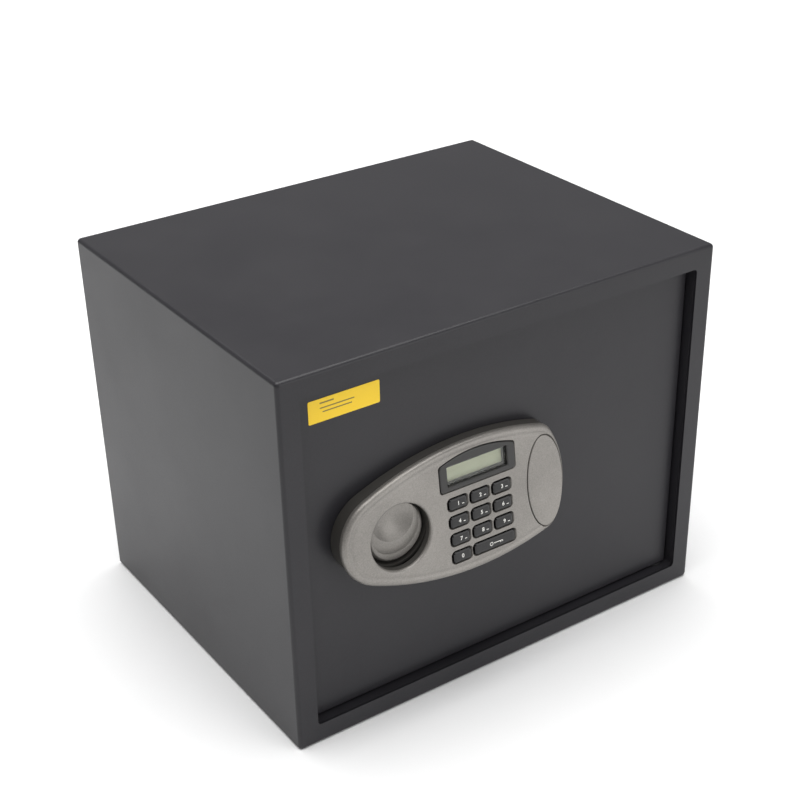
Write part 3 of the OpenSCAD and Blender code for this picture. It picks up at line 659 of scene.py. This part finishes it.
def fascia():
    """The silver front: a rolled rim, a shallow groove inside it, and dished openings."""
    roll = 3.8
    rings = [flat_ring(panel_outline(2.8), -FASCIA_T), flat_ring(panel_outline(2.0), -RIM_D)]
    rings += [flat_ring(panel_outline(0.4), -RIM_D), flat_ring(panel_outline(0), -RIM_D + 0.4)]
    for i in range(9):
        turn = math.radians(90 * i / 8)
        rings.append(
            flat_ring(panel_outline(roll * (1 - math.cos(turn))), -roll + roll * math.sin(turn))
        )
    for inset, w in ((4.6, -0.06), (5.2, -0.45), (5.8, -0.7), (6.7, -0.68), (7.6, -0.4), (8.6, -0.22)):
        rings.append(flat_ring(panel_outline(inset), w))
    piece = loft("fascia_front", rings)
    lip = [well_ring(31.6, 1.0), well_ring(31.2, -0.2), well_ring(30.6, -0.36), well_ring(27.0, -0.46)]
    lip += [well_ring(r, w) for r, w in ((26.3, -0.6), (25.6, -1.0), (25.15, -1.6), (WELL_R, -2.4))]
    lip.append(well_ring(WELL_R, -12))
    combine(piece, loft("well_cut", lip))
    surround = ((-1.1, 1.0), (-0.8, -0.25), (-0.5, -0.7), (-0.4, -9))
    combine(piece, loft("bezel_cut", [flat_ring(bezel_outline(g), w) for g, w in surround]))
    dish = ((2.05, 1.0), (1.95, -0.22), (1.6, -0.6), (1.1, -1.3), (0.7, -2.0), (0.45, -3.2))
    for i in range(len(KEY_NAMES)):
        rings = [key_ring(i, grow, w) for grow, w in (*dish, (0.45, -9))]
        combine(piece, loft("key_cut", rings))
    groove = [
        flat_ring(oval(COVER_X, COVER_V, COVER_RX + g, COVER_RV + g), w)
        for g, w in ((1.4, 1.0), (1.1, -0.15), (0.75, -0.5), (0.45, -0.9), (0.4, -9))
    ]
    combine(piece, loft("cover_cut", groove))
    smooth(piece)
    return place(piece, "door", silver_paint, "silver_paint", "fascia")


def along_door(points, w):
    """Points pushed along the door's own normal until they lie on the face's plane at height w."""
    placed = []
    for x, v in points:
        z = FACE_Z + v
        climb = (z - FACE_Z - w * math.sin(TILT)) / math.cos(TILT)
        placed.append(Vector((x, FACE_Y + climb * math.sin(TILT) - w * math.cos(TILT), z)))
    return placed


def at_depth(points, y):
    return [Vector((x, y, FACE_Z + v)) for x, v in points]


def housing():
    """The dark housing behind the fascia, with the knob's well and its floor."""
    foot = [
        at_depth(panel_outline(1.6), DOOR_FACE),
        at_depth(panel_outline(1.0), DOOR_FACE - 0.6),
        along_door(panel_outline(1.0), -RIM_D + 0.2),
        along_door(panel_outline(3.1), -RIM_D + 0.2),
        along_door(panel_outline(3.1), -FASCIA_T - 0.05),
    ]
    piece = loft("panel_body", foot)
    cavity = [
        at_depth(panel_outline(4.0), DOOR_FACE + 1),
        along_door(panel_outline(4.0), -7),
    ]
    combine(piece, loft("cavity", cavity))
    wall = oval(KNOB_X, KNOB_Z - FACE_Z, WELL_R + WELL_WALL, WELL_R + WELL_WALL, 120)
    tube = [at_depth(wall, y) for y in (-144.0, -154.0)]
    combine(piece, loft("well_tube", tube), "UNION")
    combine(piece, rod_piece("well_bore", (KNOB_X, -180, KNOB_Z), "y", WELL_R, 34, 120))
    combine(piece, rod_piece("spindle_bore", (KNOB_X, -150, KNOB_Z), "y", 12, 10, 64))
    combine(piece, loft("bezel_open", [flat_ring(bezel_outline(-0.4), w) for w in (1, -8)]))
    combine(piece, loft("key_open", [flat_ring(round_box(-65, -31, -5.5, 25, 3), w) for w in (1, -8)]))
    opening = oval(COVER_X, COVER_V, COVER_RX - 3, COVER_RV - 2.5)
    combine(piece, loft("cover_open", [flat_ring(opening, w) for w in (1, -8)]))
    smooth(piece)
    return place(piece, "door", moulded_abs, "dark_abs", "panel_housing")


def bezel():
    """The dark surround of the display, with a sloping inner edge."""
    rings = [flat_ring(bezel_outline(0), -5.5)]
    for inset, w in ((0, -0.5), (0.1, -0.15), (0.35, 0.12), (0.8, 0.28), (1.4, 0.3)):
        rings.append(flat_ring(bezel_outline(inset), w))
    piece = loft("display_surround", rings)
    x0, v0, x1, v1 = GLASS
    steps = ((1.1, 1.0), (0.9, 0.3), (0.35, 0.0), (0.1, -0.4), (0, -1.0), (0, -3.0), (-1.5, -3.0), (-1.5, -9))
    window = [
        flat_ring(round_box(x0 - g, v0 - g, x1 + g, v1 + g, 0.9 if g > -1 else 0.4), w)
        for g, w in steps
    ]
    combine(piece, loft("window_cut", window))
    smooth(piece)
    return place(piece, "door", smooth_abs, "dark_abs", "lcd_bezel")


def display():
    """The display glass, and the clear sheet over it."""
    x0, v0, x1, v1 = GLASS
    glass = loft(
        "display_glass",
        [
            flat_ring(round_box(x0 - 2, v0 - 1.5, x1 + 2, v1 + 1.5, 0.5), -9.4),
            flat_ring(round_box(x0 - 2, v0 - 1.5, x1 + 2, v1 + 1.5, 0.5), -5.6),
            flat_ring(round_box(x0 - 1.2, v0 - 1.2, x1 + 1.2, v1 + 1.2, 0.5), -5.6),
            flat_ring(round_box(x0 - 1.2, v0 - 1.2, x1 + 1.2, v1 + 1.2, 0.5), -5.55),
        ],
    )
    place(smooth(glass), "door", display_glass, "lcd_glass", "lcd_module")
    edge = round_box(x0 + 0.1, v0 + 0.1, x1 - 0.1, v1 - 0.1, 0.8)
    inner = round_box(x0 + 0.3, v0 + 0.3, x1 - 0.3, v1 - 0.3, 0.6)
    sheet = loft("display_window", [flat_ring(edge, -3.0), flat_ring(edge, -2.4), flat_ring(inner, -2.2)])
    place(smooth(sheet), "door", acrylic, "clear_window", "lcd_window")


def number(text, x, v, height, name):
    """A digit in white, standing just proud of its key."""
    deselect()
    bpy.ops.object.text_add()
    letter = bpy.context.object
    letter.data.body = text
    letter.data.size = height * MM / 0.7
    letter.data.align_x = "CENTER"
    letter.data.align_y = "CENTER"
    letter.data.extrude = 0.03 * MM
    letter.data.offset = 0.08 * MM
    bpy.ops.object.convert(target="MESH")
    letter = bpy.context.object
    turn = Matrix.Rotation(math.radians(90) - TILT, 4, "X")
    letter.matrix_world = Matrix.Translation(on_face(x, v, 0.42) * MM) @ turn
    return made(name)


def bar(name, x, v, wide, high, r=0.2):
    """A small printed bar on the face."""
    ring = round_box(x - wide / 2, v - high / 2, x + wide / 2, v + high / 2, r, 3)
    return loft(name, [flat_ring(ring, 0.36), flat_ring(ring, 0.43)])


def key(i):
    """One gloss key with a crowned top, and the white marks on it."""
    label = KEY_NAMES[i]
    steps = ((0.8, -6.6), (0.8, -5.6), (0, -5.6), (0, -0.6), (-0.12, -0.2), (-0.4, 0.05), (-0.9, 0.24))
    rings = [key_ring(i, grow, w) for grow, w in steps]
    rings += [key_ring(i, -1.6, 0.36), key_ring(i, -2.4, 0.4)]
    cap = smooth(loft("cap_" + label, rings))
    body = "key_" + label
    place(cap, body, key_abs, "key_black", body)
    x, v, _ = key_place(i)
    if label == "start":
        marks = [bar("mark", x + 2.5, v - 0.3, 8, 0.6)]
        marks += [bar("mark", x + side, v - 1.0, 0.6, 1.2) for side in (4.6, 6.4)]
        ring = [
            flat_ring(oval(x - 3.6, v - 0.3, r, r, 32), w)
            for r, w in ((1.5, 0.36), (1.5, 0.43), (1.0, 0.43), (1.0, 0.36), (1.5, 0.36))
        ]
        marks.append(loft("mark", ring, False, False))
    else:
        marks = [number(label, x + 0.1, v - 0.2, 3.0, "mark")]
        if label != "0":
            marks.append(bar("mark", x + 4.0, v - 1.3, 1.9, 0.6))
    print_piece = join("print_" + label, marks)
    open_edit(print_piece)
    bpy.ops.mesh.select_all(action="SELECT")
    bpy.ops.mesh.remove_doubles(threshold=0.002 * MM)
    close_edit()
    place(print_piece, body, white_ink, "key_black")


def key_cover():
    """The oval cap over the emergency lock, slightly crowned."""
    def ring(shrink, w):
        return flat_ring(oval(COVER_X, COVER_V, COVER_RX - shrink, COVER_RV - shrink), w)

    steps = ((0, -2.8), (0, -0.5), (0.1, -0.2), (0.35, 0.02), (0.8, 0.15), (2.5, 0.25), (6, 0.36), (11, 0.4))
    piece = loft("oval_key_cover", [ring(a, w) for a, w in steps])
    legs = []
    for v in (COVER_V - 30, COVER_V + 30):
        outline = round_box(COVER_X - 4, v - 1, COVER_X + 4, v + 1, 0.4, 3)
        legs.append(loft("leg", [flat_ring(outline, -2.8), flat_ring(outline, -5.5)]))
    smooth(join("oval_key_cover", [piece, *legs]))
    return place(piece, "key_cover", silver_paint, "silver_paint", "key_cover")


def knob():
    """The turn knob: a bevelled base disc and a domed grip, scooped out above to leave a crescent."""
    base_h, depth = 7.0, knob_high.y - knob_low.y
    edge = [(KNOB_R, 0), (KNOB_R, -4.6), (22.8, -5.2), (22.3, -5.9), (21.4, -6.6), (20.6, -base_h)]
    profile = [(22.4, 0), *edge, (12, -base_h)]
    base = spin_piece("turn_knob", profile, (KNOB_X, knob_high.y, KNOB_Z), "y")
    grip_r, dome_h = 20.5, 3.7
    dome_r = (grip_r**2 + dome_h**2) / (2 * dome_h)
    dome = [(r, dome_r - math.sqrt(dome_r**2 - r**2) - depth) for r in (19.7, 17, 14, 11, 8, 5, 2)]
    profile = [(12, -3), (grip_r, -3), (grip_r, dome_h - depth + 0.25), (20.35, dome_h - depth), *dome]
    grip = spin_piece("grip", profile, (KNOB_X - 1, knob_high.y, KNOB_Z + 4), "y", 128)
    limit = rod_piece("limit", (KNOB_X, knob_low.y - 2, KNOB_Z), "y", KNOB_R - 0.1, 16, 96)
    combine(grip, limit, "INTERSECT")
    combine(base, grip, "UNION")
    scoop_rim, scoop_depth = 21.8, 9.5
    r = (scoop_rim**2 + scoop_depth**2) / (2 * scoop_depth)
    deselect()
    bpy.ops.mesh.primitive_uv_sphere_add(
        segments=160, ring_count=120, radius=r * MM,
        location=Vector((KNOB_X - 4.1, knob_low.y + scoop_depth - r, KNOB_Z + 17.9)) * MM,
    )
    combine(base, made("scoop"))
    combine(base, rod_piece("bore", (KNOB_X, spindle_tip, KNOB_Z), "y", 5.05, 12))
    soften(base, 0.35, 3, 30)
    smooth(base)
    return place(base, "knob", silver_paint, "silver_paint", "knob")


fascia()
housing()
bezel()
display()
for index in range(len(KEY_NAMES)):
    key(index)
key_cover()
knob()


def label():
    """The yellow label, left blank but for three dark lines that stand for print."""
    low, high = label_low, label_high
    outline = round_box(low.x, low.z, high.x, high.z, 1.0, 4)
    rings = [[Vector((x, y, z)) for x, z in outline] for y in (DOOR_FACE, low.y)]
    sheet = smooth(loft("yellow_label", rings))
    place(sheet, "door", label_film, "label", "blank_label")
    lines = []
    for x0, x1, z, tall in ((9, 20, 13.2, 1.1), (9, 36, 9.6, 0.9), (11, 34, 6.6, 0.9)):
        outline = round_box(low.x + x0, low.z + z, low.x + x1, low.z + z + tall, 0.3, 3)
        rings = [[Vector((x, y, zz)) for x, zz in outline] for y in (low.y, low.y - 0.03)]
        lines.append(loft("line", rings))
    place(join("label_lines", lines), "door", label_ink, "label")


label()


# ---------------------------------------------------------------- everything else

FINISHED = [
    ("back_panel", "cabinet", powder_coat, "powder_steel", 0.4),
    ("hinge_plates", "cabinet", powder_coat, "plain_steel", 0.5),
    ("strike_bar", "cabinet", powder_coat, "plain_steel", 0.5),
    ("floor_mat", "cabinet", felt, "felt", 0.8),
    ("hinge_pins", "door", bright_steel, "bright_steel", 0.5),
    ("hinge_washer", "door", nylon, "nylon", 0.2),
    ("keypad_membrane", "door", silicone, "rubber", 0.1),
    ("control_board", "door", circuit_board, "board", 0.1),
    ("panel_screws", "door", zinc_plate, "screws", 0.3),
    ("lock_cylinder", "door", nickel, "lock_chrome", 0.3),
    ("lock_nut", "door", nickel, "lock_chrome", 0.3),
    ("lock_plug", "lock_plug", brass, "lock_brass", 0.15),
    ("lock_cam", "lock_plug", zinc_plate, "zinc_plate", 0.3),
    ("knob_spindle", "knob", bright_steel, "bright_steel", 0.3),
    ("spindle_clip", "knob", zinc_plate, "screws", 0.1),
    ("crank_disc", "knob", zinc_plate, "zinc_plate", 0.3),
    ("spindle_bush", "door", brass, "lock_brass", 0.2),
    ("lock_base_plate", "door", zinc_plate, "zinc_plate", 0.4),
    ("base_plate_nuts", "door", zinc_plate, "screws", 0.3),
    ("bolt_carriage", "carriage", zinc_plate, "zinc_plate", 0.4),
    ("stop_tab", "carriage", zinc_plate, "zinc_plate", 0.3),
    ("upper_bolt", "carriage", bright_steel, "bright_steel", 0.3),
    ("lower_bolt", "carriage", bright_steel, "bright_steel", 0.3),
    ("bolt_screws", "carriage", zinc_plate, "screws", 0.3),
    ("guide_stud", "door", zinc_plate, "screws", 0.3),
    ("solenoid_frame", "door", zinc_plate, "zinc_plate", 0.2),
    ("solenoid_coil", "door", winding, "copper_coil", 0.3),
    ("solenoid_plunger", "plunger", bright_steel, "bright_steel", 0.2),
    ("plunger_spring", "plunger", zinc_plate, "screws", 0),
    ("inner_cover", "door", powder_coat, "powder_steel", 0.8),
    ("cover_screws", "door", zinc_plate, "screws", 0.4),
    ("battery_box", "door", black_abs, "black_abs", 0.3),
    ("battery_cells", "door", cell_film, "cell_jacket", 0.5),
    ("battery_contacts", "door", bright_steel, "bright_steel", 0.1),
    ("battery_door", "battery_door", black_abs, "black_abs", 0.3),
    ("reset_switch", "door", black_abs, "black_abs", 0.2),
    ("reset_button", "reset_button", red_abs, "red_abs", 0.5),
    ("wiring", "door", wire_pvc, "wire_jacket", 0),
]
for node, body, material, slot, edge in FINISHED:
    refine(node, body, material, slot, edge)


# ---------------------------------------------------------------- floor, light and camera


def studio():
    """A pale floor, a pale room and three soft lamps."""
    deselect()
    bpy.ops.mesh.primitive_plane_add(size=30)
    floor = made("studio_floor")
    floor.data.materials.append(surface("pale_studio_paper", "#f6f6f6", "#f4f4f4", 2.0, 0.0, 0.9))
    world = bpy.data.worlds.new("pale_room")
    bpy.context.scene.world = world
    world.use_nodes = True
    world.node_tree.nodes["Background"].inputs["Color"].default_value = srgb("#ffffff")
    world.node_tree.nodes["Background"].inputs["Strength"].default_value = 0.36
    for name, at, aim, size, watts, spread in (
        ("top_softbox", (-0.1, 0.1, 2.2), (0, 0, 0.15), 2.4, 72, 180),
        ("front_softbox", (1.1, -2.3, 0.9), (0, 0, 0.15), 1.9, 18, 180),
        ("back_softbox", (0.9, 2.6, 2.4), (0.9, 2.6, 0), 2.2, 34, 50),
    ):
        lamp = bpy.data.lights.new(name, "AREA")
        lamp.energy = watts
        lamp.size = size
        lamp.spread = math.radians(spread)
        holder = bpy.data.objects.new(name, lamp)
        bpy.context.scene.collection.objects.link(holder)
        holder.location = at
        holder.rotation_euler = (Vector(aim) - Vector(at)).to_track_quat("-Z", "Y").to_euler()
    bpy.context.scene.view_settings.view_transform = "Standard"


def camera():
    """A view from the left and above, with a slight roll."""
    azimuth, elevation, roll = math.radians(-33.777), math.radians(30.057), math.radians(-1.317)
    level = Vector((math.sin(azimuth), -math.cos(azimuth), 0))
    back = level * math.cos(elevation) + Vector((0, 0, math.sin(elevation)))
    right = Vector((math.cos(azimuth), math.sin(azimuth), 0))
    up = back.cross(right)
    turned_right = right * math.cos(roll) + up * math.sin(roll)
    turned_up = up * math.cos(roll) - right * math.sin(roll)
    where = turned_right * 0.419 + turned_up * 102.311 + back * 1320.914
    rows = Matrix((turned_right, turned_up, back)).transposed().to_4x4()
    lens = bpy.data.cameras.new("camera")
    lens.lens = 69.63
    lens.sensor_width = 36
    lens.shift_y = 0.0612
    holder = bpy.data.objects.new("camera", lens)
    bpy.context.scene.collection.objects.link(holder)
    holder.matrix_world = Matrix.Translation(where * MM) @ rows
    bpy.context.scene.camera = holder


camera()
studio()
